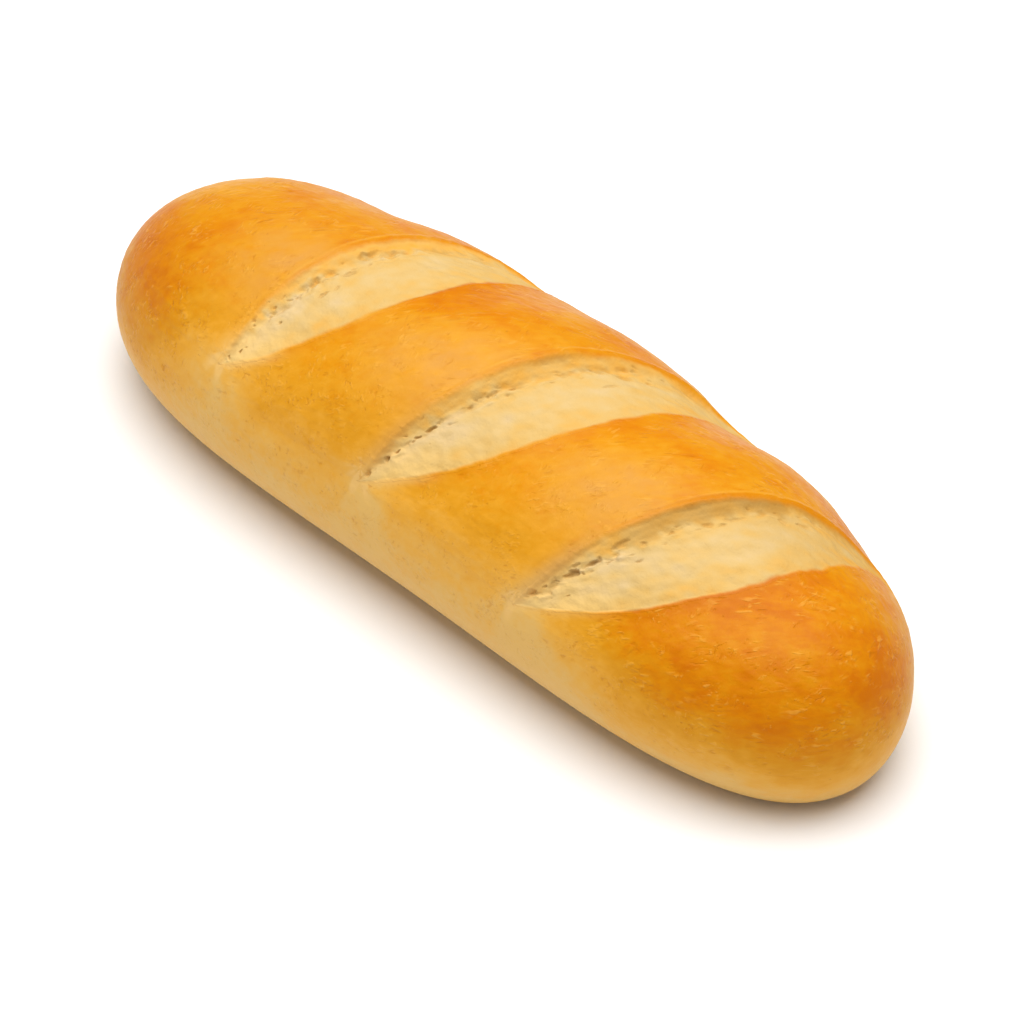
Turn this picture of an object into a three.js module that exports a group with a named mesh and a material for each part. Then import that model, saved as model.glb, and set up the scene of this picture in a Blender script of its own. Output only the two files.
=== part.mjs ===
// A white bread loaf: one long hand-shaped loaf with three slanting cuts across its top.
//
// The loaf is a single closed solid, built as a skin of rings and rows. Its sections are domed above the
// widest line and tuck in below it, down to a flat base. The cuts opened in the oven: the crust swells
// behind each lip, on the cut's -X side, a torn wall drops from the lip to a crease, and the crumb swells
// up again from the crease to the lower edge, on the +X side. The rings of the skin follow these lines.
//
// Millimetres, +Z up, X along the loaf. The origin is on the table, under the middle of the loaf.

import * as THREE from "three";

// Overall size of the risen form, before the relief of the cuts.
const LENGTH = 290;
const WIDTH = 100;
const HEIGHT = 71;

// Shape of the sections and of the outlines. Exponents make an outline fuller as they grow.
const WIDEST_AT = 0.4; // height of the widest line, as a share of the height
const END_DROOP = 0.12; // how much the widest line comes down at the ends, as a share
const BELLY_DEPTH = 1.22; // depth of the lower curve in widest-line heights: what passes 1 is flattened
const PLAN_FULLNESS = 3.7;
const SIDE_FULLNESS = 9;
const TOP_FALL = 0.28; // how much lower the top runs towards the ends, as a share
const END_BEND = 5; // the ends bend towards -Y by this much
const BASE_ROUNDING = 2.5; // the belly blends into the flat base over this much height

// The three cuts. Each runs from its near tip, on the -Y side, over the top to its far tip. Angles go round
// the section from the top, positive towards -Y. lipBow and edgeBow are how far the two sides of the
// opening stand off the straight line between the tips, along X. The crust behind the lip rises by swell,
// and the lower edge lies below the risen form by drop.
const FAR_ANGLE = -68;
const CUTS = [
  { near: { x: -77, angle: 60 }, farX: -23, lipBow: 21, edgeBow: 13, swell: 1, drop: 0.8 },
  { near: { x: -17.5, angle: 68 }, farX: 52.5, lipBow: 17.5, edgeBow: 17, swell: 2.6, drop: 2 },
  { near: { x: 45.5, angle: 72 }, farX: 115, lipBow: 9.5, edgeBow: 27.5, swell: 1.2, drop: 1.6 },
];

// Relief of a cut, measured out from the risen form.
const SWELL_REACH = 48; // the crust swells over this length behind the lip
const SWELL_CREST = 0.35; // and is highest at this share of it, counted from the lip
const LIP_SHARE = 0.8; // the lip itself keeps this share of the swell
const CREASE_DEPTH = 1.6;
const CREASE_AT = 0.24; // place of the crease across the opening, from the lip
const FULL_DEPTH_WIDTH = 18; // an opening narrower than this is less deep
const TIP_FADE = 0.6; // how evenly the relief holds along the cut: a smaller power fades nearer the tips
const EDGE_REACH = 30; // the crust climbs back from the lower edge over this length

// Shallow hollows in the crust on the far side: one behind the first cut, and one at each cut's far tip,
// which draws the crust in. Half sizes are a length along X and a turn round the section.
const HOLLOWS = [
  { x: -80, angle: -52, depth: 2.2, length: 15, turn: 26 },
  { x: -33, angle: -60, depth: 1.2, length: 11, turn: 22 },
  { x: 45, angle: -58, depth: 2.6, length: 14, turn: 24 },
  { x: 103, angle: -58, depth: 1.8, length: 15, turn: 24 },
];

// How the skin is divided.
const TOP_STEP = 4; // degrees between rows over the top
const TOP_LIMIT = 80; // the top rows go down to this angle
const SIDE_ROWS = 8; // rows from there to the rim of the base, on each side
const BASE_ROWS = 4;
const END_RINGS = 12;
const BETWEEN_RINGS = 6;
const ACROSS_CUT = [0, 0.07, 0.17, CREASE_AT, 0.38, 0.5, 0.64, 0.8, 0.92, 1];
const TIP_SPREAD = 0.8; // half the gap kept between a cut's outer rings at its tips
const SIDE_SPREAD = 14; // half the gap between them low on the sides and under the base
const SPREAD_OVER = 0.25; // the gap opens over this share of the cut's length, past its tips

const RAD = Math.PI / 180;
const clamp01 = (v) => Math.min(1, Math.max(0, v));
const smooth = (v) => clamp01(v) ** 2 * (3 - 2 * clamp01(v));
const mix = (a, b, t) => a + (b - a) * t;

// A lopsided arch over 0..1, 1 at its highest point, which lies nearer the end with the smaller power.
function arch(s, startPower, endPower) {
  if (s <= 0 || s >= 1) return 0;
  const top = startPower / (startPower + endPower);
  return (s / top) ** startPower * ((1 - s) / (1 - top)) ** endPower;
}

// The lip's arch is fullest late, towards the far tip, and the lower edge's is fullest early.
const lipArch = (s) => arch(s, 1.1, 0.6);
const edgeArch = (s) => arch(s, 0.85, 1.5);

// Half width, middle line, widest-line height, and dome and belly depths of the section at x.
function sectionAt(x) {
  const along = Math.min(1, Math.abs(x) / (LENGTH / 2));
  const sideFill = Math.sqrt(1 - along ** SIDE_FULLNESS);
  return {
    halfWidth: (WIDTH / 2) * Math.sqrt(1 - along ** PLAN_FULLNESS),
    middle: -END_BEND * along ** 2,
    widest: HEIGHT * WIDEST_AT * (1 - END_DROOP * along ** 2),
    dome: HEIGHT * (1 - WIDEST_AT) * sideFill * (1 - TOP_FALL * along ** 2),
    belly: HEIGHT * WIDEST_AT * BELLY_DEPTH * sideFill,
  };
}

// Both sides of a cut's opening at an angle, and how far along the cut that is: 0 and 1 at its tips.
function opening(cut, angle) {
  const s = (cut.near.angle - angle) / (cut.near.angle - FAR_ANGLE);
  const line = mix(cut.near.x, cut.farX, clamp01(s));
  return { s, lip: line - cut.lipBow * lipArch(s), edge: line + cut.edgeBow * edgeArch(s) };
}

// The swell of the crust behind a lip, as a share of its height, at a distance from the lip.
function swell(distance) {
  const v = distance / SWELL_REACH;
  if (v >= SWELL_CREST) return 1 - smooth((v - SWELL_CREST) / (1 - SWELL_CREST));
  return mix(LIP_SHARE, 1, Math.sin((v / SWELL_CREST) * (Math.PI / 2)));
}

// Height of the skin above the risen form at x, on the row at this angle.
function relief(x, angle) {
  let height = 0;
  for (const hollow of HOLLOWS) {
    const far = ((x - hollow.x) / hollow.length) ** 2 + ((angle - hollow.angle) / hollow.turn) ** 2;
    height -= hollow.depth * Math.exp(-far);
  }
  for (const cut of CUTS) {
    const { s, lip, edge } = opening(cut, angle);
    if (s <= 0 || s >= 1) continue;
    const strength = Math.sin(Math.PI * s) ** TIP_FADE;
    const lipHeight = cut.swell * LIP_SHARE * strength;
    const edgeHeight = -cut.drop * strength;
    const creaseHeight = -CREASE_DEPTH * strength * Math.min(1, (edge - lip) / FULL_DEPTH_WIDTH);
    if (x <= lip) {
      height += cut.swell * strength * swell(lip - x);
    } else if (x >= edge) {
      height += edgeHeight * (1 - smooth((x - edge) / EDGE_REACH));
    } else {
      const across = (x - lip) / (edge - lip);
      const climb = clamp01((across - CREASE_AT) / (1 - CREASE_AT));
      height += across < CREASE_AT
        ? mix(lipHeight, creaseHeight, smooth(across / CREASE_AT))
        : mix(creaseHeight, edgeHeight, Math.sin((climb * Math.PI) / 2));
    }
  }
  return height;
}

// Heights below the table flatten on to it, through a short rounding.
function onTable(z) {
  if (z >= BASE_ROUNDING) return z;
  return Math.max(0, z + BASE_ROUNDING) ** 2 / (4 * BASE_ROUNDING);
}

// The point of the skin at x on the row at this angle.
function skinPoint(x, angle) {
  const { halfWidth, middle, widest, dome, belly } = sectionAt(x);
  const side = -Math.sin(angle * RAD);
  const up = Math.cos(angle * RAD);
  const reach = up > 0 ? dome : belly;
  const out = new THREE.Vector2(side * reach, up * halfWidth).normalize();
  const height = relief(x, angle);
  const y = middle + side * halfWidth + out.x * height;
  const z = widest + up * reach + out.y * height;
  return new THREE.Vector3(x, y, onTable(z));
}

// Rows round the section, from straight under the loaf on the -Y side, over the top, and back.
function rowAngles() {
  const rim = 90 + Math.asin(1 / BELLY_DEPTH) / RAD;
  const half = [];
  for (let angle = 0; angle < TOP_LIMIT; angle += TOP_STEP) half.push(angle);
  for (let i = 0; i < SIDE_ROWS; i += 1) half.push(mix(TOP_LIMIT, rim, i / SIDE_ROWS));
  for (let i = 0; i < BASE_ROWS; i += 1) half.push(mix(rim, 180, i / BASE_ROWS));
  return [180, ...half.slice(1).reverse(), ...half.map((angle) => -angle)];
}

// The x where the rings of a cut pass under the loaf: they run on from tip to tip.
function xBelow(cut, angle) {
  const past = angle > 0 ? angle - cut.near.angle : 360 - cut.near.angle + angle;
  const round = 360 - cut.near.angle + FAR_ANGLE;
  return mix(cut.near.x, cut.farX, smooth(past / round));
}

// The ring positions along one row, from the -X end to the +X end, without the two end points.
function ringsOnRow(angle) {
  const toTurn = (x) => Math.asin(x / (LENGTH / 2));
  const stops = [-Math.PI / 2];
  for (const cut of CUTS) {
    const { s, lip, edge } = opening(cut, angle);
    const pastTip = Math.max(0, -s, s - 1);
    const spread = mix(TIP_SPREAD, SIDE_SPREAD, smooth(pastTip / SPREAD_OVER));
    const centre = pastTip > 0 ? xBelow(cut, angle) : (lip + edge) / 2;
    const half = Math.max(spread, (edge - lip) / 2);
    stops.push(toTurn(centre - half), toTurn(centre + half));
  }
  stops.push(Math.PI / 2);
  const turns = [];
  for (let k = 0; k + 1 < stops.length; k += 1) {
    const inCut = k % 2 === 1;
    const atEnd = k === 0 || k + 2 === stops.length;
    const count = atEnd ? END_RINGS : BETWEEN_RINGS;
    const steps = inCut ? ACROSS_CUT : Array.from({ length: count + 1 }, (_, i) => i / count);
    for (const step of steps.slice(1)) turns.push(mix(stops[k], stops[k + 1], step));
  }
  turns.pop();
  return turns.map((turn) => (LENGTH / 2) * Math.sin(turn));
}

// The skin: one closed surface of rows and rings, closed to a point at each end.
function loafGeometry() {
  const rows = rowAngles();
  const grid = rows.map((angle) => ringsOnRow(angle).map((x) => skinPoint(x, angle)));
  const rings = grid[0].length;
  const points = [...grid.flat(), skinPoint(-LENGTH / 2, 0), skinPoint(LENGTH / 2, 0)];
  const [first, last] = [points.length - 2, points.length - 1];
  const at = (row, ring) => (row % rows.length) * rings + ring;
  const faces = [];
  for (let row = 0; row < rows.length; row += 1) {
    faces.push(first, at(row, 0), at(row + 1, 0));
    for (let ring = 0; ring + 1 < rings; ring += 1) {
      const [a, b] = [at(row, ring), at(row, ring + 1)];
      const [c, d] = [at(row + 1, ring + 1), at(row + 1, ring)];
      faces.push(a, b, c, a, c, d);
    }
    faces.push(last, at(row + 1, rings - 1), at(row, rings - 1));
  }
  const geometry = new THREE.BufferGeometry().setFromPoints(points);
  geometry.setIndex(faces);
  geometry.computeVertexNormals();
  return geometry;
}

const crust = new THREE.MeshStandardMaterial({ color: 0xe8a84c, roughness: 0.55, metalness: 0 });
const loaf = new THREE.Mesh(loafGeometry(), crust);
loaf.name = "loaf";

const bread = new THREE.Group();
bread.add(loaf);
export default bread;
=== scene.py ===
import math

import bmesh
import bpy
import numpy as np
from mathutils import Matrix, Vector, noise


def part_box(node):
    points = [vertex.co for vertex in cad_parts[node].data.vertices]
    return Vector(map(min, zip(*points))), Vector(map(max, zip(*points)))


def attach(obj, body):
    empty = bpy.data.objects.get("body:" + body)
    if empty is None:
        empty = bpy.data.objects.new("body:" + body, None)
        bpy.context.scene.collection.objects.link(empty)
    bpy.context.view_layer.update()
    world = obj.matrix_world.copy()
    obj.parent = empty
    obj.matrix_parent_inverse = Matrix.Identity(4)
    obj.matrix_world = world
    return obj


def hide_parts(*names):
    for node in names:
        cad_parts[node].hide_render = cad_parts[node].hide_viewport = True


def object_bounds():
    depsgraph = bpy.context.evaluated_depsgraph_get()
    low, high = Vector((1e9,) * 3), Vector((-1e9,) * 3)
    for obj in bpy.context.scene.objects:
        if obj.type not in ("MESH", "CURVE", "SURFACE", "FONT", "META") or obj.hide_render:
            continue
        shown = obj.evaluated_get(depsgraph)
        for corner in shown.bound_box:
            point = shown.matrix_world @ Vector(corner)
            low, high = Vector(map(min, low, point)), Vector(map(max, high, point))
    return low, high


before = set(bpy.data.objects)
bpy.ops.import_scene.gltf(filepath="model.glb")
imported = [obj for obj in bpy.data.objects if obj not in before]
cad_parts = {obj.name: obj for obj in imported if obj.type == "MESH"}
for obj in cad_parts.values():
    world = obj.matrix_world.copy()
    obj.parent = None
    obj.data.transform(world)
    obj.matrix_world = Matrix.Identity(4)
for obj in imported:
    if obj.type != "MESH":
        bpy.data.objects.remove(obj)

solid_low, solid_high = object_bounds()

# ------------------------------------------------------------------------------------------------ crust
# The crust is the thin golden skin of one hand-shaped loaf of white wheat dough, baked on a flat tray. It is
# closed all round. Three slanting cuts opened in the oven: behind each lip the crust swells, and its torn
# edges stand a little over the crumb.

# Sizes are in millimetres, and angles in degrees round from the top, positive towards the near side, -Y.
MM = 0.001
loaf_low, loaf_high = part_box("loaf")
LENGTH = (loaf_high.x - loaf_low.x) / MM
WIDTH = 100
HEIGHT = 71
# It is widest at this share of its height, a little lower at the ends, which bend towards the near side.
WIDEST_AT = 0.4
END_DROOP = 0.12
END_BEND = 5
# How much deeper the belly was before the tray pressed it flat, and how far the rim of its base is rounded.
BELLY_DEPTH = 1.22
BASE_ROUNDING = 2.5
# How full its outline is from above and from the side, and how much its top falls towards the ends.
PLAN_FULLNESS = 3.7
SIDE_FULLNESS = 9
TOP_FALL = 0.28

# Each cut runs from its near tip, low on the near side, over the top to its far tip.
# lip_bow, edge_bow: how far its lip and its lower edge bend away from the line between the tips.
# swell, drop: how high the crust swells behind the lip, and how far the lower edge lies under the risen form.
# edge_in, edge_fade: how far the crust reaches in at the lower edge, and over what width it thins out there.
# baked: how much darker the skin is beyond the lower edge.
# rim_from, rim_tone: from what share along the cut the rim of the lip shows, and how dark it is.
# lip_shade: how much painted shade, a tan tone, lies on the skin where it rolls down into the cut.
# pale_lip, pale_edge: how pale the skin is on each side of the near tip.
# wall_shade, far_toast: how much painted shade lies on the crumb on the wall under the lip, and how much
# yellower its far part.
CUTS = [
    {
        "near_x": -77, "near_angle": 60, "far_x": -23,
        "lip_bow": 21, "edge_bow": 13, "swell": 1, "drop": 0.8,
        "edge_in": -0.4, "edge_fade": 2.1, "baked": 0.16, "rim_from": 0.15, "rim_tone": 0.35,
        "lip_shade": 0, "pale_lip": 0.6, "pale_edge": 0.9, "wall_shade": 0, "far_toast": 0.06,
    },
    {
        "near_x": -17.5, "near_angle": 68, "far_x": 52.5,
        "lip_bow": 17.5, "edge_bow": 17, "swell": 2.6, "drop": 2,
        "edge_in": 0.2, "edge_fade": 1.7, "baked": 0.16, "rim_from": 0.3, "rim_tone": 0.5,
        "lip_shade": 0.4, "pale_lip": 0.2, "pale_edge": 0.8, "wall_shade": 0.08, "far_toast": 0.1,
    },
    {
        "near_x": 45.5, "near_angle": 72, "far_x": 115,
        "lip_bow": 9.5, "edge_bow": 27.5, "swell": 1.2, "drop": 1.6,
        "edge_in": 1, "edge_fade": 1.4, "baked": 0.2, "rim_from": 0.3, "rim_tone": 1.7,
        "lip_shade": 0.7, "pale_lip": 0.3, "pale_edge": 0.5, "wall_shade": 0.7, "far_toast": 0.2,
    },
]
# All of them end at FAR_ANGLE, and each is about RUN long.
FAR_ANGLE = -68
RUN = 120
# The swell behind a lip: how far it reaches, where in that it is highest, and its height at the lip itself.
SWELL_REACH = 48
SWELL_CREST = 0.35
LIP_SHARE = 0.8
# The crease under the lip, where the cut is deepest: its share of the way across, and its depth in a cut of
# full width. The relief dies away towards the tips, and beyond the lower edge.
CREASE_DEPTH = 1.6
CREASE_AT = 0.24
FULL_DEPTH_WIDTH = 18
TIP_FADE = 0.6
EDGE_REACH = 30

# Shallow hollows on the far side, where the opening cuts drew the crust in.
HOLLOWS = [
    {"x": -80, "angle": -52, "depth": 2.2, "length": 15, "turn": 26},
    {"x": -33, "angle": -60, "depth": 1.2, "length": 11, "turn": 22},
    {"x": 45, "angle": -58, "depth": 2.6, "length": 14, "turn": 24},
    {"x": 103, "angle": -58, "depth": 1.8, "length": 15, "turn": 24},
]


def smooth(v):
    v = np.clip(v, 0, 1)
    return v * v * (3 - 2 * v)


def mix(a, b, t):
    return a + (b - a) * t


def hill(off, reach):
    """1 at a place and less away from it: about a third at this reach, and next to nothing at twice that."""
    return np.exp(-((off / reach) ** 2))


def spot(x, angle, place):
    """1 in the middle of a place on the loaf, fading out over its length and its turn round the loaf."""
    return hill(x - place["x"], place["length"]) * hill(angle - place["angle"], place["turn"])


def arch(s, start_power, end_power):
    """A lopsided arch over 0..1, 1 at its highest point, nearer the end with the smaller power."""
    s = np.clip(s, 0, 1)
    top = start_power / (start_power + end_power)
    return (s / top) ** start_power * ((1 - s) / (1 - top)) ** end_power


def along_cut(cut, angle):
    """How far along a cut this angle is: 0 at the near tip, 1 at the far one."""
    return (cut["near_angle"] - angle) / (cut["near_angle"] - FAR_ANGLE)


def opening(cut, angle):
    """Share along a cut at an angle, and the x of its lip and of its lower edge there."""
    s = along_cut(cut, angle)
    line = mix(cut["near_x"], cut["far_x"], np.clip(s, 0, 1))
    return s, line - cut["lip_bow"] * arch(s, 1.1, 0.6), line + cut["edge_bow"] * arch(s, 0.85, 1.5)


def strength(s):
    """How strongly the relief of a cut shows along it: nothing at its tips."""
    return np.sin(math.pi * np.clip(s, 0, 1)) ** TIP_FADE


def swell(distance):
    """Swell of the crust behind a lip, as a share of its height."""
    v = distance / SWELL_REACH
    near = mix(LIP_SHARE, 1, np.sin(np.clip(v / SWELL_CREST, 0, 1) * math.pi / 2))
    return np.where(v >= SWELL_CREST, 1 - smooth((v - SWELL_CREST) / (1 - SWELL_CREST)), near)


def risen(x, angle):
    """Height of the torn and swollen skin above the plain risen form."""
    height = np.zeros(x.shape)
    for hollow in HOLLOWS:
        height -= hollow["depth"] * spot(x, angle, hollow)
    for cut in CUTS:
        s, lip, edge = opening(cut, angle)
        shows = strength(s)
        width = np.maximum(edge - lip, 0.01)
        lip_height = cut["swell"] * LIP_SHARE * shows
        edge_height = -cut["drop"] * shows
        crease_height = -CREASE_DEPTH * shows * np.minimum(1, width / FULL_DEPTH_WIDTH)
        across = np.clip((x - lip) / width, 0, 1)
        climb = np.clip((across - CREASE_AT) / (1 - CREASE_AT), 0, 1)
        wall = mix(lip_height, crease_height, smooth(across / CREASE_AT))
        crumb = mix(crease_height, edge_height, np.sin(climb * math.pi / 2))
        inside = np.where(across < CREASE_AT, wall, crumb)
        before = cut["swell"] * shows * swell(lip - x)
        after = edge_height * (1 - smooth((x - edge) / EDGE_REACH))
        height += np.where(x <= lip, before, np.where(x >= edge, after, inside))
    return height


def skin_point(x, angle, height):
    """Points of the loaf's outside at x and angle, lifted by height along the outward direction."""
    along = np.minimum(1, np.abs(x) / (LENGTH / 2))
    side_fill = np.sqrt(1 - along**SIDE_FULLNESS)
    half_width = WIDTH / 2 * np.sqrt(1 - along**PLAN_FULLNESS)
    middle = -END_BEND * along**2
    widest = HEIGHT * WIDEST_AT * (1 - END_DROOP * along**2)
    dome = HEIGHT * (1 - WIDEST_AT) * side_fill * (1 - TOP_FALL * along**2)
    belly = HEIGHT * WIDEST_AT * BELLY_DEPTH * side_fill
    side, up = -np.sin(np.radians(angle)), np.cos(np.radians(angle))
    reach = np.where(up > 0, dome, belly)
    out_y, out_z = side * reach, up * half_width
    size = np.maximum(np.hypot(out_y, out_z), 1e-6)
    y = middle + side * half_width + out_y / size * height
    z = widest + up * reach + out_z / size * height
    rounded = np.maximum(0, z + BASE_ROUNDING) ** 2 / (4 * BASE_ROUNDING)
    z = np.where(z >= BASE_ROUNDING, z, rounded)
    return np.stack([x, y, z], -1)


def patches(points, size, offset=0.0):
    """Smooth unevenness at each point, about -1 to 1, in patches of about this size."""
    sizes = np.broadcast_to(np.asarray(size, float), (3,))
    places = (points / sizes + offset).tolist()
    return np.array([noise.noise(place) for place in places]) * 1.6


def scattered(points, size):
    """Grains scattered about one size apart: how far each point is from the nearest, as a share of the size,
    and the number from 0 to 1 that this grain drew."""
    cells = [noise.voronoi(place) for place in (points / size).tolist()]
    nearest = np.array([found[0][0] for found in cells])
    return nearest, np.array([abs(noise.cell(found[1][0] * 3.7)) for found in cells])


def spindle(name, rows, rings):
    """A closed skin of rows round and rings along, still a ball, with the row and ring of each point."""
    ball = bmesh.new()
    bmesh.ops.create_uvsphere(ball, u_segments=rows, v_segments=rings + 1, radius=1)
    mesh = bpy.data.meshes.new(name)
    ball.to_mesh(mesh)
    ball.free()
    places = np.zeros(3 * len(mesh.vertices))
    mesh.vertices.foreach_get("co", places)
    places = places.reshape(-1, 3)
    ring = np.rint(np.arccos(np.clip(places[:, 2], -1, 1)) / math.pi * (rings + 1)).astype(int)
    # The ball's rows start a quarter turn round, which isn't always a whole number of rows.
    turn = np.arctan2(places[:, 1], places[:, 0]) / (2 * math.pi)
    row = np.rint(turn * rows - rows / 4).astype(int) % rows
    return mesh, row, ring


def finish_skin(mesh, points, values):
    """Puts the points of a skin in place, in metres, with its values, and turns its faces outwards."""
    mesh.vertices.foreach_set("co", (points * MM).ravel())
    skin = bmesh.new()
    skin.from_mesh(mesh)
    bmesh.ops.recalc_face_normals(skin, faces=skin.faces)
    skin.to_mesh(mesh)
    skin.free()
    mesh.shade_smooth()
    for name, value in values.items():
        layer = mesh.attributes.new(name, "FLOAT", "POINT")
        layer.data.foreach_set("value", value.astype(np.float32))
    piece = bpy.data.objects.new(mesh.name, mesh)
    bpy.context.scene.collection.objects.link(piece)
    return piece


# The torn edges of the crust. It turns down over the lip by up to RIM, most where the cut is widest, and both
# edges are a little ragged, by strays that add up: how far each goes, its size along the cut, and its start.
RIM = 1.5
RAGGED_WIDTH = 12
LIP_STRAYS = [(0.35, 6, 0), (0.22, 1.8, 0)]
EDGE_STRAYS = [(0.65, 10, 9.5), (0.26, 3.4, 9.5), (0.12, 1.3, 9.5)]
# Away from EDGE_MIDDLE, a share along the cut, the lower edge stands back by EDGE_BACK.
EDGE_MIDDLE = 0.42
EDGE_BACK = 0.8
torn_s = np.linspace(0, 1, 500)


def ragged(number, strays):
    """How far an edge of a cut strays, at even steps along it."""
    at = np.stack([torn_s * RUN, 0 * torn_s + 40 * number, 0 * torn_s], -1)
    return sum(far * patches(at, size, start) for far, size, start in strays)


ragged_lips = [ragged(number, LIP_STRAYS) for number in range(len(CUTS))]
ragged_edges = [ragged(number, EDGE_STRAYS) for number in range(len(CUTS))]


def torn_edges(number, cut, angle):
    """Share along the cut, and the x where the crust ends at its lip side and at its lower side."""
    s, lip, edge = opening(cut, angle)
    share = np.minimum(1, np.maximum(edge - lip, 0) / RAGGED_WIDTH)
    rim = RIM * share * (0.3 + 0.7 * smooth((s - 0.15) / 0.4))
    torn_lip = lip + rim + np.interp(s, torn_s, ragged_lips[number]) * share
    drawn_in = cut["edge_in"] - EDGE_BACK * smooth((np.abs(s - EDGE_MIDDLE) - 0.12) / 0.15)
    torn_edge = edge + (np.interp(s, torn_s, ragged_edges[number]) - drawn_in) * share
    return s, torn_lip, torn_edge


# The skin has grains scattered about GRAIN apart. One that drew more than BLISTERS_FROM is a blister, and one
# that drew less than POCKS_TO is a pock. They are strongest towards the ends, away from MIDDLE.
GRAIN = 5.5
BLISTERS_FROM = 0.7
POCKS_TO = 0.25
MIDDLE = -4


def to_ends(x, start, fade):
    """0 up to start from the middle of the loaf, and 1 from fade further on."""
    return smooth((np.abs(x - MIDDLE) - start) / fade)


def on_sides(angle):
    """1 on the top and the sides, and 0 underneath, where the skin lay on the tray."""
    return smooth((112 - np.abs(angle)) / 30)


def folds(x, angle, plain):
    """Fine relief of the baked skin: gentle unevenness, wrinkles drawn along it as it stretched, and small
    blisters and pocks, most of them at the ends."""
    at_end = to_ends(x, 75, 35)
    uneven = 0.35 * patches(plain, 26) + 0.12 * patches(plain, 9, 3.3)
    wrinkle = 0.1 * (1 - np.minimum(1, np.abs(patches(plain, (9, 2.8, 2.8), 5.1)) * 3))
    wrinkle += 0.05 * patches(plain, (4, 1.6, 1.6), 8.8)
    nearest, drew = scattered(plain, GRAIN)
    blister = np.where(drew > BLISTERS_FROM, smooth(1 - nearest / 0.42), 0) * mix(0.35, 1, at_end)
    pock = np.where(drew < POCKS_TO, smooth(1 - nearest / 0.3), 0) * mix(0.3, 1, at_end)
    return (uneven + wrinkle + 0.2 * blister - 0.16 * pock) * on_sides(angle)


# How the skin baked: 0 is pale straw, low on the sides, and 1 deep orange. It reaches SIDE_BAKE over the
# middle and END_BAKE at the ends, which took most heat, and it pales from the angle PALE_BELOW down.
SIDE_BAKE = 0.61
END_BAKE = 0.88
PALE_BELOW = 102
# From how far along the loaf each end took more heat, and over what length that came in.
RIGHT_END = (50, 55)
LEFT_END = (78, 34)
# Places that are paler or darker than the skin round them. The first is beside the first near tip, where
# the skin was drawn thin and baked paler. The second, beside the last far one, is a painted highlight where
# the lamp's sheen falls. The third is at the right-hand end.
BAKED_PLACES = [
    {"x": -89, "angle": 60, "length": 11, "turn": 15, "bake": -0.17},
    {"x": 108, "angle": 10, "length": 13, "turn": 18, "bake": -0.11},
    {"x": 135, "angle": -12, "length": 11, "turn": 30, "bake": 0.16},
]
# A painted highlight near the right-hand end: the lamp's sheen, painted as a peach tone.
PAINTED_SHEEN_PLACE = {"x": 108, "angle": 15, "length": 12, "turn": 16, "painted_sheen": 0.45}


def oven_baked(x, angle, plain):
    """How dark the skin baked away from the cuts, and how much painted highlight, a peach sheen, lies on it.
    """
    at_right, at_left = (x - RIGHT_END[0]) / RIGHT_END[1], (-x - LEFT_END[0]) / LEFT_END[1]
    at_end = smooth(np.maximum(at_right, at_left))
    # Places are paler the lower they are: round an end this is told by height, as degrees from the top.
    below = HEIGHT * WIDEST_AT - plain[:, 2]
    deepest, highest = HEIGHT * WIDEST_AT * BELLY_DEPTH, HEIGHT * (1 - WIDEST_AT)
    level = np.clip(np.where(below > 0, below / deepest, below / highest), -1, 1)
    low = mix(np.abs(angle), 90 + np.degrees(np.arcsin(level)), smooth((np.abs(x) - 118) / 20))
    # The ends are browned lower down, the right-hand one most.
    lower = 20 * at_end + 5 * smooth((np.abs(x) - 112) / 20) + 11 * smooth((x - 118) / 20)
    bake = mix(SIDE_BAKE, END_BAKE, at_end) * smooth((PALE_BELOW + lower - low) / mix(55, 68, at_end))
    # Beyond the top the middle of the loaf is darker, and its ends a little paler.
    beyond_top = smooth((11 - angle) / 22) * smooth((150 - np.abs(angle)) / 60)
    bake += mix(0.16, -0.13, at_end) * beyond_top * smooth((142 - np.abs(x)) / 10)
    # Along the near side of the top the middle carries a painted highlight, the lamp's soft sheen: it is a
    # little paler, and peach.
    bake -= 0.05 * hill(angle - 17, 10) * (1 - at_end)
    painted_sheen = 0.7 * hill(angle - 16, 19) * (1 - at_end)
    bake += mix(0.05, 0.06, at_end) * patches(plain, 24, 1.7)
    bake += mix(0.05, 0.065, at_end) * patches(plain, (13, 7, 7), 2.9)
    for place in BAKED_PLACES:
        bake += place["bake"] * spot(x, angle, place)
    # The left-hand end is a little paler on its top.
    bake -= 0.15 * hill(x + 126, 22) * smooth((34 - angle) / 36) * smooth((140 - np.abs(angle)) / 50)
    painted_sheen += PAINTED_SHEEN_PLACE["painted_sheen"] * spot(x, angle, PAINTED_SHEEN_PLACE)
    return bake, painted_sheen


# At its torn edges the skin shows SKIN_THICK thick, and it levels out THICK_REACH from them. The rim of a lip
# has a fine bead on it, and behind the lip the skin is drawn into fine lines.
SKIN_THICK = 0.16
THICK_REACH = 4
BEAD = 0.22
DRAWN_LINES = 0.1


def at_near_tip(s):
    """1 along a cut close to its near tip, and 0 away from it."""
    return smooth((0.17 - s) / 0.12) * smooth((s + 0.04) / 0.05)


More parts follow.
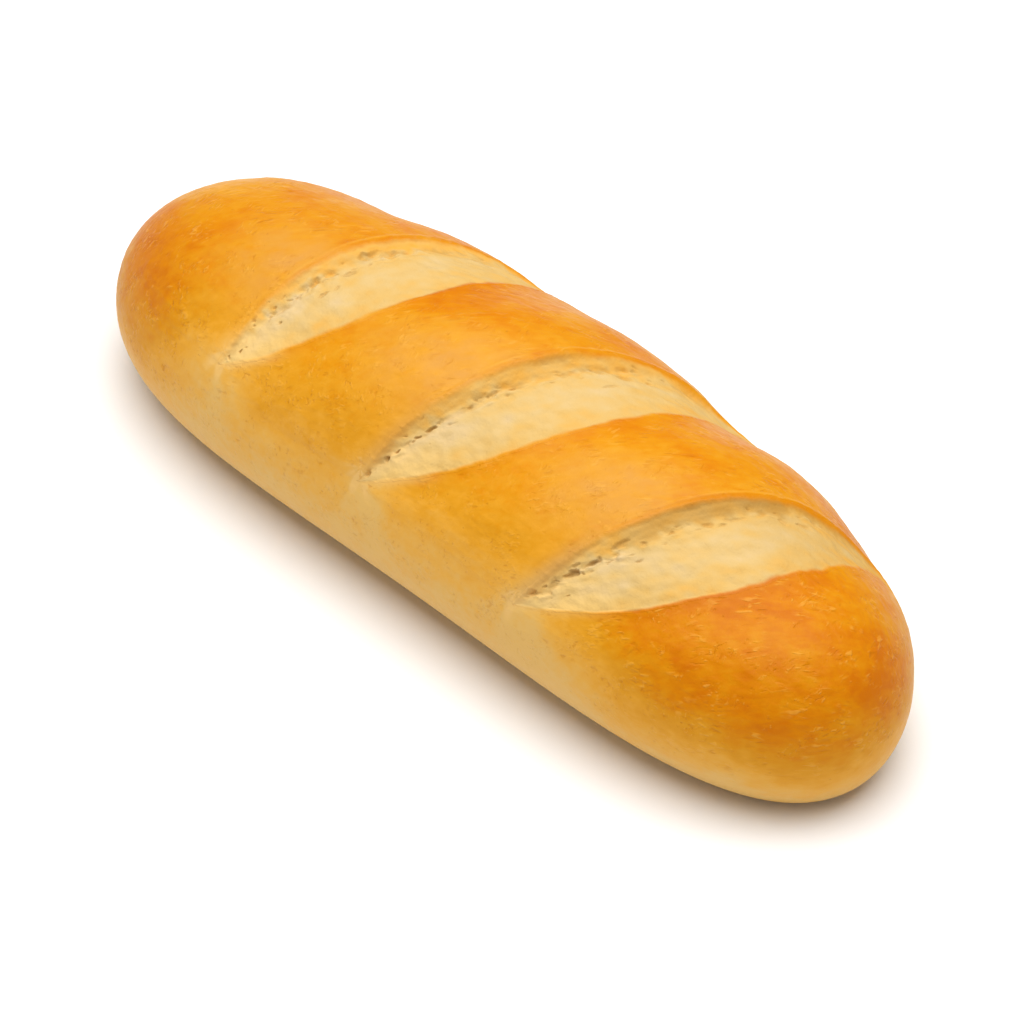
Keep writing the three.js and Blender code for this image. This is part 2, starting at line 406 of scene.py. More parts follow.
def bake_lip(look, number, cut, s, shows, behind, past_lip):
    """Adds the skin behind the torn lip of a cut: a broken rim with a painted highlight on its bead, fine
    lines drawn along it, and painted shade on the skin that rolls down into the cut.
    """
    before = behind >= 0
    run, none = s * RUN, 0 * s
    broken = 0.6 + 0.4 * patches(np.stack([run / 12, 7.0 * number + none, none], -1), 1)
    rim = before * shows * smooth((s - cut["rim_from"]) / 0.25) * broken
    look["lift"] += SKIN_THICK * before * shows * smooth(1 - behind / THICK_REACH)
    look["lift"] += BEAD * rim * hill(past_lip + 0.5, 0.7)
    look["rim_dark"] += cut["rim_tone"] * rim * smooth((past_lip + 0.6) / 0.9)
    # A painted highlight runs along the crest of the bead.
    look["rim_highlight"] += rim * hill(past_lip + 0.7, 0.5)
    drawn = patches(np.stack([run / 13, behind / 1.3, 5.0 * number + none], -1), 1)
    drawn *= before * shows * hill(behind - 2, 5) * smooth((0.75 - s) / 0.3)
    look["lift"] += DRAWN_LINES * drawn
    look["bake"] += DRAWN_LINES * drawn
    # Near the tip there is no lip: the skin rolls down into the cut, and painted shade, a tan tone, lies on
    # it there.
    rolled = smooth((0.36 - s) / 0.22) * smooth((s + 0.03) / 0.06)
    look["rolled_shade"] += cut["lip_shade"] * before * hill(behind, 3.5) * rolled
    look["cream"] += cut["pale_lip"] * before * hill(behind, 3) * at_near_tip(s)


def bake_edge(look, cut, s, shows, beyond):
    """Adds the skin beyond the lower edge of a cut, which caught the heat and browned."""
    after = beyond >= 0
    browned_here = after * shows * smooth((s - 0.04) / 0.12) * (1 - 0.6 * smooth((s - 0.5) / 0.2))
    look["lift"] += SKIN_THICK * after * shows * smooth(1 - beyond / THICK_REACH)
    look["edge_dark"] += browned_here * smooth(beyond) * np.exp(-beyond / 2.4)
    look["bake"] += cut["baked"] * browned_here * hill(beyond, 14)
    # Beyond the lower edge the painted highlight is taken off.
    look["painted_sheen"] -= 0.6 * browned_here * hill(beyond, 18)
    look["cream"] += cut["pale_edge"] * after * hill(beyond, 3) * at_near_tip(s)


def bake_tip(look, number, cut, angle, plain):
    """Adds the pale skin round the near tip of a cut, drawn out in fine folds that fan down the side."""
    tip = skin_point(np.array([cut["near_x"]]), np.array([cut["near_angle"]]), np.zeros(1))[0]
    # The side slopes at about 45 degrees there.
    along, down = plain[:, 0] - tip[0], -0.7 * (plain[:, 1] - tip[1] + plain[:, 2] - tip[2])
    reach = np.hypot(along, down)
    turn = np.arctan2(along, down + 4)
    fan = patches(np.stack([turn * 2.4, reach / 16, 9.0 * number + 0 * reach], -1), 1)
    near_side = angle > 0
    look["bake"] -= 0.36 * near_side * hill(along - 4, 9) * hill(down - 2, 11)
    look["bake"] -= 0.12 * near_side * fan * smooth(reach / 5) * hill(along - 4, 12) * hill(down - 8, 12)
    look["cream"] += near_side * smooth(1.1 + 0.7 * fan - reach / 4.2)


def baked_skin(x, angle):
    """Lift of the baked skin above the risen form, and its look: how dark it baked, its painted highlight,
    and its tones at the cuts, among them painted shade and highlights."""
    plain = skin_point(x, angle, risen(x, angle))
    look = {name: np.zeros(len(x)) for name in ("rim_dark", "rim_highlight", "edge_dark", "rolled_shade", "cream")}
    look["bake"], look["painted_sheen"] = oven_baked(x, angle, plain)
    look["lift"] = folds(x, angle, plain)
    for number, cut in enumerate(CUTS):
        s, torn_lip, torn_edge = torn_edges(number, cut, angle)
        shows = strength(s) * (s > 0) * (s < 1)
        bake_lip(look, number, cut, s, shows, torn_lip - x, x - opening(cut, angle)[1])
        bake_edge(look, cut, s, shows, x - torn_edge)
        bake_tip(look, number, cut, angle, plain)
    look["painted_sheen"] = np.maximum(look["painted_sheen"], 0)
    look["cream"] = np.minimum(look["cream"], 1)
    return look.pop("lift"), look


# Rows of the crust's skin round it: even steps down to TOP_LIMIT, then to the rim of the base, and under it.
TOP_STEP = 0.8
TOP_LIMIT = 84
SIDE_ROWS = 37
BASE_ROWS = 7
# Rings along it: between the cuts, and in a narrow band on each side of one, which spreads past its tips.
END_RINGS = 65
BETWEEN_RINGS = 43
LIP_RINGS = 14
EDGE_RINGS = 7
LIP_BAND = 3.4
EDGE_BAND = 3
SPREAD_BAND = 8
TIP_SPREAD = 0.5
SIDE_SPREAD = 6
SPREAD_OVER = 0.25
# Rings of the crust inside an opening, where it turns under the crumb: distance from the torn edge, the
# most that may be of the opening's width, and how far it goes down in an opening of DEEP_WIDTH or more.
TURN_UNDER = [(0.08, 0.02, 0.22), (0.16, 0.05, 0.6), (0.3, 0.09, 1.3), (1.4, 0.2, 4.5)]
FLOOR = [(0.36, 5), (0.5, 5), (0.64, 5)]
DEEP_WIDTH = 6

rim_angle = 90 + math.degrees(math.asin(1 / BELLY_DEPTH))
half_rows = [TOP_STEP * i for i in range(round(TOP_LIMIT / TOP_STEP))]
half_rows += [mix(TOP_LIMIT, rim_angle, i / SIDE_ROWS) for i in range(SIDE_ROWS)]
half_rows += [mix(rim_angle, 180, i / BASE_ROWS) for i in range(BASE_ROWS)]
row_angles = [-180] + [-angle for angle in half_rows[:0:-1]] + half_rows


def x_below(cut, angle):
    """Where the rings of a cut pass under the loaf, on from tip to tip."""
    past = angle - cut["near_angle"] if angle > 0 else 360 - cut["near_angle"] + angle
    return mix(cut["near_x"], cut["far_x"], smooth(past / (360 - cut["near_angle"] + FAR_ANGLE)))


def spaced(start, end, count):
    """Even steps of turn along the loaf, so that rings crowd towards its ends, without the first."""
    half = LENGTH / 2
    low, high = (math.asin(max(-1, min(1, x / half))) for x in (start, end))
    return [half * math.sin(mix(low, high, (i + 1) / count)) for i in range(count)]


def crust_row(angle):
    """The x of each ring of the crust on one row, and how far it is turned under there."""
    rings = []
    reached = -LENGTH / 2
    for number, cut in enumerate(CUTS):
        # Past the tips of a cut its rings spread, and pass round under the loaf.
        s, torn_lip, torn_edge = (float(v) for v in torn_edges(number, cut, angle))
        past_tip = max(0, -s, s - 1)
        far = float(smooth(past_tip / SPREAD_OVER))
        half_gap = max(mix(TIP_SPREAD, SIDE_SPREAD, far), (torn_edge - torn_lip) / 2)
        centre = float(x_below(cut, angle)) if past_tip > 0 else (torn_lip + torn_edge) / 2
        start, end = centre - half_gap, centre + half_gap
        open_width = max(0, torn_edge - torn_lip) if past_tip == 0 else 0
        deep = min(1, open_width / DEEP_WIDTH)
        room = max(open_width, 0.6 * half_gap)
        lip_start = start - mix(LIP_BAND, SPREAD_BAND, far)
        rings += [(x, 0) for x in spaced(reached, lip_start, END_RINGS if number == 0 else BETWEEN_RINGS)]
        rings += [(mix(lip_start, start, (i + 1) / LIP_RINGS), 0) for i in range(LIP_RINGS)]
        rings += [(start + min(off, part * room), deep * down) for off, part, down in TURN_UNDER]
        rings += [(mix(start, end, part), deep * down) for part, down in FLOOR]
        rings += [(end - min(off, part * room), deep * down) for off, part, down in TURN_UNDER[::-1]]
        reached = end + mix(EDGE_BAND, SPREAD_BAND, far)
        rings += [(mix(end, reached, i / EDGE_RINGS), 0) for i in range(EDGE_RINGS + 1)]
    rings += [(x, 0) for x in spaced(reached, LENGTH / 2, END_RINGS)][:-1]
    return rings


crust_rings = np.array([crust_row(angle) for angle in row_angles])
ring_count = crust_rings.shape[1]
crust_mesh, row, ring = spindle("crust", len(row_angles), ring_count)
place = ring_count - ring
inner = (place >= 0) & (place < ring_count)
x, turned = np.moveaxis(crust_rings[row, np.clip(place, 0, ring_count - 1)], 1, 0)
# The two poles of the skin are the ends of the loaf.
x = np.where(inner, x, np.sign(place - 1) * LENGTH / 2)
turned = np.where(inner, turned, 0)
angle = np.where(inner, np.array(row_angles)[row], 0)
lift, values = baked_skin(x, angle)
points = skin_point(x, angle, risen(x, angle) - turned + np.where(turned <= 0, lift, 0))
# How strongly the finish is wrinkled.
values["wrinkled"] = mix(0.75, 1, to_ends(x, 70, 35)) * on_sides(angle)
crust = finish_skin(crust_mesh, points, values)


def colour(*levels):
    """A display colour, 0 to 255, as the linear colour that a shader takes."""
    shares = [level / 255 for level in levels]
    return [c / 12.92 if c <= 0.04045 else ((c + 0.055) / 1.055) ** 2.4 for c in shares] + [1]


class Finish:
    """One finish: a material, and the nodes that colour it, roughen it and raise its grain."""

    def __init__(self, name, roughness, specular):
        self.material = bpy.data.materials.new(name)
        self.material.use_nodes = True
        self.nodes = self.material.node_tree.nodes
        self.shader = self.nodes["Principled BSDF"]
        self.shader.inputs["Roughness"].default_value = roughness
        self.shader.inputs["Specular IOR Level"].default_value = specular

    def put(self, socket, part):
        if isinstance(part, bpy.types.NodeSocket):
            self.material.node_tree.links.new(part, socket)
        else:
            socket.default_value = part

    def value(self, name):
        """A value that the skin carries at each point."""
        node = self.nodes.new("ShaderNodeAttribute")
        node.attribute_name = name
        return node.outputs["Fac"]

    def maths(self, operation, *parts):
        node = self.nodes.new("ShaderNodeMath")
        node.operation = operation
        for socket, part in zip(node.inputs, parts):
            self.put(socket, part)
        return node.outputs["Value"]

    def plus(self, a, b):
        return self.maths("ADD", a, b)

    def minus(self, a, b):
        return self.maths("SUBTRACT", a, b)

    def times(self, a, b):
        return self.maths("MULTIPLY", a, b)

    def more(self, a, b):
        return self.maths("MAXIMUM", a, b)

    def above(self, cloud, level, width):
        """0 below a level and 1 from width above it."""
        share = self.maths("DIVIDE", self.minus(cloud, level), width)
        return self.maths("MINIMUM", 1, self.more(0, share))

    def place(self, size, turn=0, shift=0.0):
        """The piece's own coordinates, shifted by so many metres and turned about the upright, and counted in
        steps of this size in millimetres."""
        own = self.nodes.new("ShaderNodeTexCoord")
        steps = self.nodes.new("ShaderNodeMapping")
        steps.vector_type = "TEXTURE"
        self.put(steps.inputs["Vector"], own.outputs["Object"])
        steps.inputs["Location"].default_value = (shift, shift, shift)
        steps.inputs["Rotation"].default_value = (0, 0, math.radians(turn))
        steps.inputs["Scale"].default_value = [length * MM for length in np.broadcast_to(size, 3)]
        return steps.outputs["Vector"]

    def cloud(self, size, turn=0, shift=0.0, detail=2, bend=0.0):
        """Noise, about -0.5 to 0.5, in patches of this size."""
        node = self.nodes.new("ShaderNodeTexNoise")
        self.put(node.inputs["Vector"], self.place(size, turn, shift))
        node.inputs["Scale"].default_value = 1
        node.inputs["Detail"].default_value = detail
        node.inputs["Distortion"].default_value = bend
        return self.minus(node.outputs["Fac"], 0.5)

    def marks(self, size, radius, kept, turn=0, shift=0.0, bend=0.0):
        """Scattered marks, 1 in the middle and 0 at their rims, one in each cell of this size. Only the share
        kept of them shows."""
        wander = self.nodes.new("ShaderNodeTexNoise")
        self.put(wander.inputs["Vector"], self.place(size, turn, shift))
        wander.inputs["Scale"].default_value = 0.6
        bent = self.nodes.new("ShaderNodeVectorMath")
        bent.operation = "MULTIPLY_ADD"
        self.put(bent.inputs[0], wander.outputs["Color"])
        bent.inputs[1].default_value = (bend, bend, bend)
        self.put(bent.inputs[2], self.place(size, turn, shift))
        cells = self.nodes.new("ShaderNodeTexVoronoi")
        self.put(cells.inputs["Vector"], bent.outputs["Vector"])
        cells.inputs["Scale"].default_value = 1
        chosen = self.above(self.plus(cells.outputs["Color"], 0), 1 - kept, 0.1)
        near = self.above(self.minus(0, cells.outputs["Distance"]), -radius, radius)
        return self.times(near, chosen)

    def ramp(self, factor, stops):
        node = self.nodes.new("ShaderNodeValToRGB")
        elements = node.color_ramp.elements
        elements[0].position, elements[0].color = stops[0]
        elements[1].position, elements[1].color = stops[-1]
        for position, tone in stops[1:-1]:
            elements.new(position).color = tone
        self.put(node.inputs["Fac"], factor)
        return node.outputs["Color"]

    def blend(self, base, tone, share):
        node = self.nodes.new("ShaderNodeMix")
        node.data_type = "RGBA"
        first, second = (socket for socket in node.inputs if socket.type == "RGBA")
        self.put(node.inputs["Factor"], share)
        self.put(first, base)
        self.put(second, tone)
        return next(socket for socket in node.outputs if socket.type == "RGBA")

    def relief(self, height, depth):
        """Raises the grain by a height of 0 to 1, times depth in millimetres."""
        node = self.nodes.new("ShaderNodeBump")
        node.inputs["Distance"].default_value = depth * MM
        self.put(node.inputs["Height"], height)
        self.put(self.shader.inputs["Normal"], node.outputs["Normal"])


# The tones of baked skin, from pale straw to deep orange, and its tones at the cuts.
BAKE_TONES = [
    (0.0, colour(221, 176, 96)),
    (0.22, colour(224, 167, 70)),
    (0.42, colour(222, 158, 50)),
    (0.52, colour(218, 151, 36)),
    (0.62, colour(213, 145, 26)),
    (0.74, colour(210, 136, 10)),
    (0.86, colour(206, 123, 0)),
    (1.0, colour(197, 107, 0)),
]
# A painted highlight: the lamp's soft sheen, as a peach tone.
PAINTED_SHEEN_TONE = colour(206, 145, 64)
DARK_RIM = colour(203, 124, 0)
DARK_EDGE = colour(203, 120, 0)
# A painted highlight on the crest of the lip's bead.
RIM_HIGHLIGHT = colour(228, 172, 70)
# Painted shade where the skin rolls down into a cut.
ROLLED_SHADE = colour(190, 146, 84)
CREAM = colour(229, 184, 108)
# Marks on the skin are drawn out slantwise to the loaf, as the cuts run, and the shortest nearly across it.
SLANT = 45
CROSSWISE = 95


def browned(finish):
    """The colour of baked skin: by its bake, softly mottled and streaked, with its tones at the cuts, and
    with painted highlights and painted shade.
    """
    mottle = finish.times(finish.cloud(5, detail=3), 0.3)
    streaks = finish.times(finish.cloud((8, 2.2, 2.2), SLANT, shift=0.1, detail=3, bend=0.5), 0.3)
    patchy = finish.times(finish.cloud((9, 5, 5), SLANT, shift=0.6, detail=3, bend=0.4), 2.4)
    tone = finish.ramp(finish.plus(finish.value("bake"), finish.plus(mottle, streaks)), BAKE_TONES)
    # The painted highlight, the lamp's sheen, in patches along the top.
    tone = finish.blend(tone, PAINTED_SHEEN_TONE, finish.times(finish.value("painted_sheen"), finish.plus(0.85, patchy)))
    tone = finish.blend(tone, DARK_RIM, finish.value("rim_dark"))
    tone = finish.blend(tone, DARK_EDGE, finish.times(finish.value("edge_dark"), 0.55))
    tone = finish.blend(tone, RIM_HIGHLIGHT, finish.times(finish.value("rim_highlight"), 0.4))
    tone = finish.blend(tone, ROLLED_SHADE, finish.value("rolled_shade"))
    return finish.blend(tone, CREAM, finish.times(finish.value("cream"), 0.8))


def wrinkles(finish, wrinkled):
    """Short fine wrinkles, some along the slant and some across the loaf: crests that carry a painted
    highlight, and dark sides that carry painted shade.
    """
    along = finish.cloud((5.5, 1.3, 1.3), SLANT, shift=0.3, detail=1, bend=0.4)
    across = finish.cloud((3, 1.1, 1.1), CROSSWISE, shift=0.5, detail=1, bend=0.5)
    along_kept = finish.times(finish.above(finish.cloud(8, shift=0.7), 0.0, 0.12), wrinkled)
    across_kept = finish.times(finish.above(finish.cloud(7, shift=0.9), 0.02, 0.12), wrinkled)
    along_crests = finish.times(finish.above(along, 0.07, 0.12), along_kept)
    across_crests = finish.times(finish.above(across, 0.09, 0.12), across_kept)
    along_dips = finish.times(finish.above(finish.minus(0, along), 0.08, 0.14), along_kept)
    across_dips = finish.times(finish.above(finish.minus(0, across), 0.09, 0.14), across_kept)
    return finish.more(along_crests, across_crests), finish.more(along_dips, across_dips)


# Painted highlight on the crests of the wrinkles, and painted shade on their dark sides.
CREST_HIGHLIGHT = colour(231, 168, 66)
DIP_SHADE = colour(180, 100, 2)
PORE = colour(160, 90, 6)
SATIN = 0.42

golden = Finish("golden_crust", SATIN, 0.1)
wrinkled = golden.value("wrinkled")
crests, dips = wrinkles(golden, wrinkled)
blisters = golden.marks((3.6, 2.8, 2.8), radius=0.5, kept=0.45, turn=SLANT, shift=0.5, bend=0.8)
pores = golden.marks(3.4, radius=0.14, kept=0.4, shift=0.9, bend=0.4)
tone = golden.blend(browned(golden), CREST_HIGHLIGHT, golden.times(crests, 0.42))
tone = golden.blend(tone, DIP_SHADE, golden.times(dips, 0.36))
tone = golden.blend(tone, PORE, golden.times(pores, 0.26))
golden.put(golden.shader.inputs["Base Color"], tone)
golden.put(golden.shader.inputs["Roughness"], golden.plus(SATIN, golden.times(golden.cloud(2), 0.3)))
raised = golden.plus(golden.times(crests, 0.5), golden.times(golden.times(blisters, wrinkled), 0.4))
raised = golden.plus(raised, golden.times(golden.cloud(0.9, detail=3), 0.3))
golden.relief(golden.minus(raised, golden.times(golden.more(pores, dips), 0.5)), 0.25)
crust.data.materials.append(golden.material)
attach(crust, "root")
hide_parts("loaf")

# ------------------------------------------------------------------------------------------------ crumb
# The crumb shows in the three cuts, where the dough tore as it rose: tan on the wall under the lip, cream and
# open at the crease, drawn out smooth and yellow towards the lower edge. It is one body with the loaf: the
# browned skin thins out over its borders, and it runs on under the crust.

# Rows across the crumb and under it, and rings along it, which go on a little past the tips of the cut.
ACROSS = 150
UNDER = 6
ALONG = 400
PAST_TIPS = 0.004
INSIDE_TIPS = 0.0005
# It is tucked TUCK under the torn edges of the crust, and from OVERLAP on it dips out of their way.
TUCK = 1.3
OVERLAP = 0.5
# Its relief is full where the cut is OPEN_WIDTH wide, and comes in over BORDER from its edges, which stand
# PROUD of the skin. Its back lies BACK deeper than the BACK_AT_TIPS that it keeps at the tips.
OPEN_WIDTH = 6
BORDER = 1.6
PROUD = 0.06
BACK = 3.4
BACK_AT_TIPS = 0.3
ENDS_SUNK = 0.6
# The larger holes torn open in each cut: share along the cut, millimetres from the lip, length, width, depth.
HOLES = [
    [
        (0.52, 5, 9, 1.9, 0.9), (0.43, 9, 5.5, 1.8, 0.8), (0.36, 5.5, 3, 1.4, 0.6), (0.33, 11.5, 4, 1.3, 0.8),
        (0.29, 6.2, 3.4, 1.1, 0.7), (0.37, 12, 2.4, 1.2, 0.6), (0.2, 8.5, 2.6, 1.1, 0.8),
        (0.17, 1.8, 2.5, 0.9, 0.8), (0.07, 4, 1.6, 1, 0.9), (0.03, 2, 2.6, 1.1, 0.9),
        (0.765, 10, 8, 1.6, 0.6),
    ],
    [
        (0.43, 7.5, 2.6, 1.1, 0.8), (0.33, 6.5, 2.2, 1, 0.8), (0.225, 5.5, 4.8, 1.5, 1.4),
        (0.185, 4.7, 2.4, 1.2, 1), (0.17, 4.9, 1.4, 1.3, 0.7), (0.1, 3, 2.8, 1.4, 1.3),
        (0.13, 3.6, 2, 1, 0.8), (0.04, 1.2, 2.4, 1.2, 1.1), (0.7, 5, 3.4, 1.5, 0.6),
        (0.62, 14.5, 5, 1.3, 0.6), (0.68, 9, 6, 2.2, 0.7), (0.735, 9.5, 2.5, 1.8, 0.6),
        (0.55, 7, 3, 1.1, 0.6),
    ],
    [
        (0.06, 1.2, 3.2, 2.3, 1.6), (0.095, 2.6, 2, 1.2, 0.8), (0.12, 3.4, 1.4, 1.2, 0.8),
        (0.168, 4.8, 6, 2.4, 1.4), (0.22, 5.7, 5.6, 2, 1.3), (0.25, 7.7, 1.3, 0.9, 0.8),
        (0.3, 5, 6, 1.7, 0.9), (0.335, 8, 2.8, 1.6, 0.9), (0.48, 8.5, 3, 2, 0.8), (0.51, 9.5, 2.4, 1.6, 0.7),
        (0.55, 8, 5, 2, 0.6), (0.66, 8.5, 3.4, 2.2, 0.7), (0.71, 8.5, 4.5, 2.6, 0.8), (0.9, 4, 2, 1.2, 0.7),
    ],
]
# The scattered small holes are drawn out along the cut.
SMALL_HOLE = (2.6, 1.25, 1)


def torn_holes(number, s, flat, past):
    """How deep each place of the crumb lies in a torn hole, and how much painted shade lies there."""
    wobble_along, wobble_across = 0.9 * patches(flat, 2.4, 11.3), 0.5 * patches(flat, 1.8, 12.9)
    # Small holes lie along the crease, most of them towards the near tip.
    bent = flat + np.stack([1.2 * wobble_along, wobble_across, 0 * s], -1)
    nearest, drew = scattered(bent, SMALL_HOLE)
    few = 0.4 * hill(past + 0.2, 2.2) * mix(0.45, 1, smooth((0.6 - s) / 0.3))
    small = np.where(drew < few, smooth(1 - nearest / 0.5), 0)
    depth, dark = 0.6 * small, 0.55 * small
    for at, from_lip, length, wide, deep in HOLES[number]:
        along = (flat[:, 0] - at * RUN + wobble_along) / (length / 2)
        across = (flat[:, 1] - from_lip + wobble_across) / (wide / 2)
        far = along**2 + across**2
        # A hole is deepest on the side of the lip, and its painted shade is darkest there.
        bowl = np.clip(1 - far, 0, 1) ** 0.6 * (1 - 0.5 * smooth((across + 0.8) / 1.6))
        depth = np.maximum(depth, deep * bowl)
        shadow = np.clip(1.3 - far, 0, 1) * np.clip(0.85 - 0.5 * across, 0, 1)
        dark = np.maximum(dark, shadow * min(1, (deep / 1.3) ** 1.5))
    return depth, dark


def torn_relief(s, flat, line, past):
    """Relief of the torn crumb: clumps and a ledge along the crease, soft lumps, fine lines down the wall."""
    clumped = smooth(0.6 + patches(line, 7, 4.6)) * smooth((1 - s) / 0.5)
    clumps = hill(past, 3) * clumped * patches(flat, (2.6, 1.7, 1), 6.1)
    ledge = smooth((past + 0.2) / 1.3) * np.exp(-np.maximum(0, past) / 4) - 0.4 * hill(past + 0.5, 0.9)
    lumps = 0.34 * patches(flat, (9, 6, 1)) + 0.2 * patches(flat, 3, 4.4) + 0.55 * clumps
    lines = 0.08 * smooth(-past / 2) * patches(flat, (9, 1.1, 1), 8.3)
    return lumps + lines + 0.7 * clumped * ledge - 0.05, clumps


def crumb_tones(cut, s, share, flat, past, clumps):
    """How toasted the crumb is, from cream to yellow and tan, and how much painted shade lies on it on the
    wall and under the lip.
    """
    # It is tan on the wall, yellow low down and further along, and cream at the crease in the near half.
    wall = smooth((0.6 - past) / 4)
    near_half = smooth((0.4 - s) / 0.16)
    toast = 0.28 + 0.26 * smooth((share - 0.5) / 0.4) + 0.5 * wall
    toast += cut["far_toast"] * smooth((s - 0.55) / 0.2) + mix(0.2, -0.2, near_half) * hill(past - 1.5, 4)
    toast += 0.16 * patches(flat, (9, 5, 1), 1.1) + 0.1 * patches(flat, 3, 2.2) - 0.3 * clumps
    shade = cut["wall_shade"] * (wall + 0.3 * smooth((s - 0.45) / 0.2)) * smooth((s - 0.25) / 0.15)
    in_patches = smooth(0.3 + patches(flat, (5, 3, 1), 13.7))
    shade += 0.5 * hill(past + 0.8, 1.2) * in_patches * smooth((0.95 - s) / 0.2)
    return toast, shade


def crumb_skin(number, cut):
    """The crumb of one cut: torn between the edges of the crust, and tucked in under them."""
    mesh, row, ring = spindle(f"crumb_{number + 1}", ACROSS + UNDER, ALONG)
    even = np.clip(ring / (ALONG + 1), 0, 1)
    s = mix(-PAST_TIPS, 1 + PAST_TIPS, mix(even, 0.5 - 0.5 * np.cos(math.pi * even), 0.4))
    turn = cut["near_angle"] - FAR_ANGLE
    angle = cut["near_angle"] - s * turn
    angle_in = cut["near_angle"] - np.clip(s, INSIDE_TIPS, 1 - INSIDE_TIPS) * turn
    lip, edge = opening(cut, angle_in)[1:]
    torn_lip, torn_edge = torn_edges(number, cut, angle_in)[1:]
    width = np.maximum(torn_edge - torn_lip, 0.01)
    open_share = np.minimum(1, width / OPEN_WIDTH)
    tuck = TUCK * np.minimum(1, width / 5)
    above = row <= ACROSS
    v = np.where(above, row / ACROSS, 1 - (row - ACROSS) / UNDER)
    x = mix(torn_lip - tuck, torn_edge + tuck, v)

    # Places in the cut: millimetres along it, past the lip, and past the crease, which wanders.
    run, off, side = s * RUN, x - lip, 50.0 * number + 0 * s
    flat, line = np.stack([run, off, side], -1), np.stack([run, 0 * s, side], -1)
    wander = 1.4 * patches(line, 7, 2.1) + 0.9 * patches(line, 2.6, 3.1)
    crease = CREASE_AT * (edge - lip) + wander * open_share
    past = off - crease + 0.45 * patches(flat, 1.3, 7.7)
    relief, clumps = torn_relief(s, flat, line, past)
    depth, dark = torn_holes(number, s, flat, past)

    # Along its borders it takes on the height and the look of the skin beside it.
    lip_lift, lip_look = baked_skin(np.minimum(x, torn_lip - 0.001), angle_in)
    edge_lift, edge_look = baked_skin(np.maximum(x, torn_edge + 0.001), angle_in)
    over = smooth((x - torn_lip) / width)
    tucked = np.maximum(0, torn_lip - x) + np.maximum(0, x - torn_edge)
    inwards = smooth(np.minimum(x - torn_lip, torn_edge - x) / BORDER)
    form = risen(x, angle)
    height = form + mix(lip_lift, edge_lift, over) * (1 - inwards) + PROUD
    height += (relief - depth) * inwards * open_share - np.maximum(0, tucked - OVERLAP) ** 2
    height = np.where(above, height, form - BACK * open_share - BACK_AT_TIPS)
    height = np.where((ring == 0) | (ring == ALONG + 1), form - ENDS_SUNK, height)

    share = np.clip(off / np.maximum(edge - lip, 0.01), 0, 1)
    toast, shade = crumb_tones(cut, s, share, flat, past, clumps)
    # The browned skin thins out over its borders, and leaves it bare between them.
    lip_fade = mix(1.8, 4.5, cut["lip_shade"] * smooth((0.34 - s) / 0.2) * open_share)
    edge_fade = 0.3 + cut["edge_fade"] * open_share
    values = {name: mix(lip_look[name], edge_look[name], over) for name in lip_look}
    values["toast"] = toast
    values["shade"] = np.maximum(dark, shade) * above * open_share
    values["pale_tip"] = 0.65 * smooth((0.24 - s) / 0.16)
    values["bare"] = smooth((x - torn_lip + 0.3) / lip_fade) * smooth((torn_edge - x + 0.2) / edge_fade)
    return finish_skin(mesh, skin_point(x, angle, height), values)


CRUMB_TONES = [
    (0.0, colour(210, 181, 130)),
    (0.28, colour(209, 176, 114)),
    (0.55, colour(210, 170, 97)),
    (0.8, colour(216, 165, 80)),
    (1.0, colour(220, 160, 62)),
]
PALE_TIP = colour(232, 191, 114)
HOLE_SHADE = colour(158, 118, 58)
# The crumb is matt, and more satin where the browned skin thins out over it.
MATT = 0.75

torn = Finish("torn_crumb", MATT, 0.14)
bare = torn.value("bare")
tone = torn.ramp(torn.plus(torn.value("toast"), torn.times(torn.cloud(2.4, detail=3), 0.2)), CRUMB_TONES)
tone = torn.blend(tone, PALE_TIP, torn.value("pale_tip"))
tone = torn.blend(tone, HOLE_SHADE, torn.times(torn.value("shade"), 0.7))
torn.put(torn.shader.inputs["Base Color"], torn.blend(browned(torn), tone, bare))
torn.put(torn.shader.inputs["Roughness"], torn.plus(SATIN, torn.times(bare, MATT - SATIN)))
torn.relief(torn.cloud(1.1, detail=4), 0.22)
for number, cut in enumerate(CUTS):
    crumb = crumb_skin(number, cut)
    crumb.data.materials.append(torn.material)
    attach(crumb, "root")
    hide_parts("loaf")

# ------------------------------------------------------------------------------------------------ table
# The loaf stands on a plain pale table top, painted matt. It is one flat sheet, and runs on well past the
# loaf on every side.

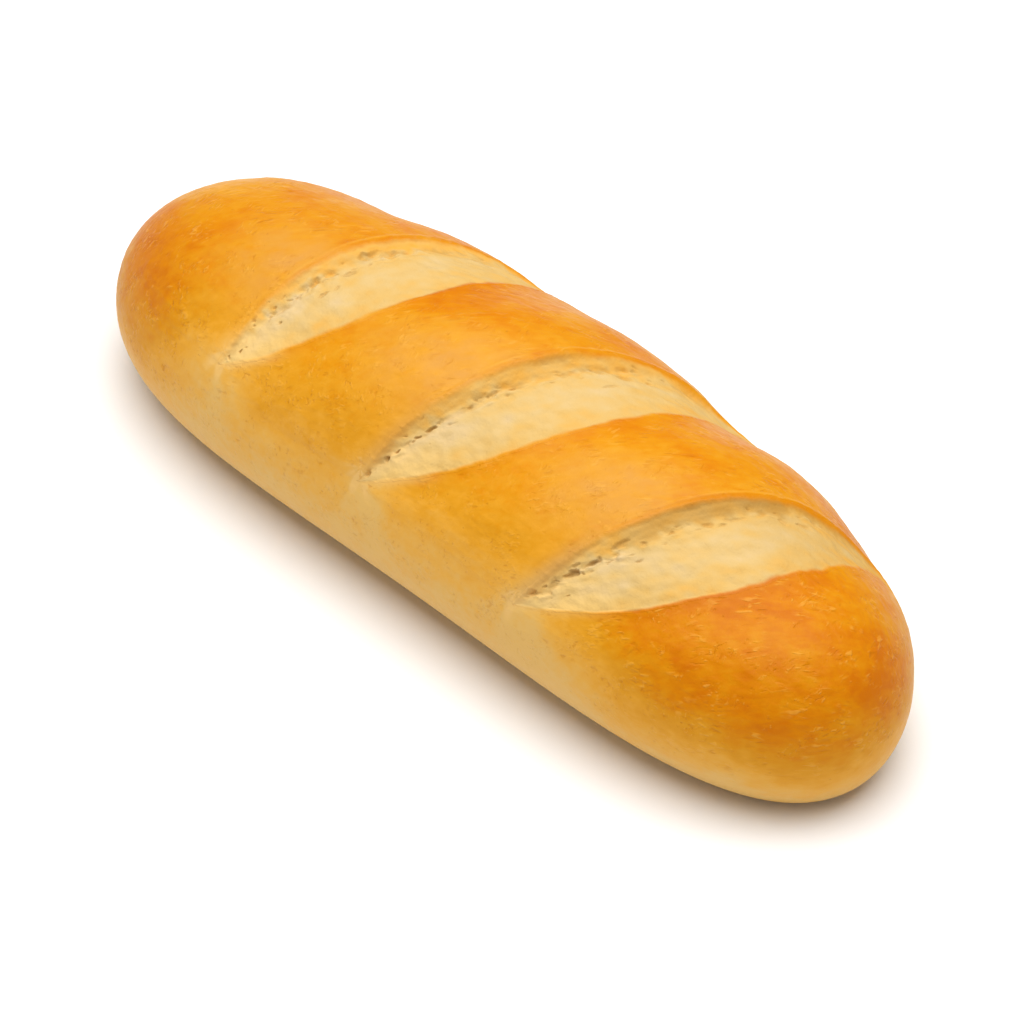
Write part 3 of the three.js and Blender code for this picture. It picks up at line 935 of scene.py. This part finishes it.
TABLE_SIDE = 8.0
TABLE_PALE = 0.94
top = bmesh.new()
bmesh.ops.create_grid(top, x_segments=1, y_segments=1, size=TABLE_SIDE / 2)
bmesh.ops.translate(top, vec=(0, 0, solid_low.z), verts=top.verts)
table_mesh = bpy.data.meshes.new("table")
top.to_mesh(table_mesh)
top.free()
table = bpy.data.objects.new("table", table_mesh)
bpy.context.scene.collection.objects.link(table)
pale = Finish("pale_table", 0.9, 0.0)
pale.shader.inputs["Base Color"].default_value = (TABLE_PALE, TABLE_PALE, TABLE_PALE, 1)
table.data.materials.append(pale.material)

# ------------------------------------------------------------------------------------------------ light
# One wide soft square lamp hangs over the loaf, a little towards its far side. The room round it is white and
# evenly lit.

ROOM_LIGHT = 0.27
LAMP_SIDE = 1.95
LAMP_WATTS = 44.5
LAMP_PLACE = (0, 0.04, 1.6)
world = bpy.data.worlds.new("studio")
bpy.context.scene.world = world
world.use_nodes = True
world.node_tree.nodes["Background"].inputs["Color"].default_value = (1, 1, 1, 1)
world.node_tree.nodes["Background"].inputs["Strength"].default_value = ROOM_LIGHT
lamp = bpy.data.lights.new("overhead", "AREA")
lamp.shape = "SQUARE"
lamp.size = LAMP_SIDE
lamp.energy = LAMP_WATTS
light = bpy.data.objects.new("overhead", lamp)
bpy.context.scene.collection.objects.link(light)
light.location = LAMP_PLACE
light.rotation_euler = (-light.location).to_track_quat("-Z", "Y").to_euler()
bpy.context.scene.view_settings.view_transform = "Standard"

# ----------------------------------------------------------------------------------------------- camera
# A long lens looks down on the loaf from between its near side and its right-hand end. It stands so far off
# that the loaf hardly tapers.

AZIMUTH = 44.82
ELEVATION = 44
DISTANCE = 3.0
LENS = 373.8
SENSOR = 36
TARGET_HEIGHT = 0.03195
AIM_LEFT = 0.00183
AIM_DOWN = 0.01422
azimuth, elevation = math.radians(AZIMUTH), math.radians(ELEVATION)
level = math.cos(elevation)
look = Vector((-math.sin(azimuth) * level, math.cos(azimuth) * level, -math.sin(elevation)))
right = Vector((math.cos(azimuth), math.sin(azimuth), 0))
above = right.cross(look)
target = Vector((0, 0, TARGET_HEIGHT))
camera_data = bpy.data.cameras.new("camera")
camera_data.sensor_width = SENSOR
camera_data.lens = LENS
camera_data.clip_end = 50
camera = bpy.data.objects.new("camera", camera_data)
bpy.context.scene.collection.objects.link(camera)
camera.location = target - DISTANCE * look
aim = target - AIM_LEFT * right - AIM_DOWN * above - camera.location
camera.rotation_euler = aim.to_track_quat("-Z", "Y").to_euler()
bpy.context.scene.camera = camera
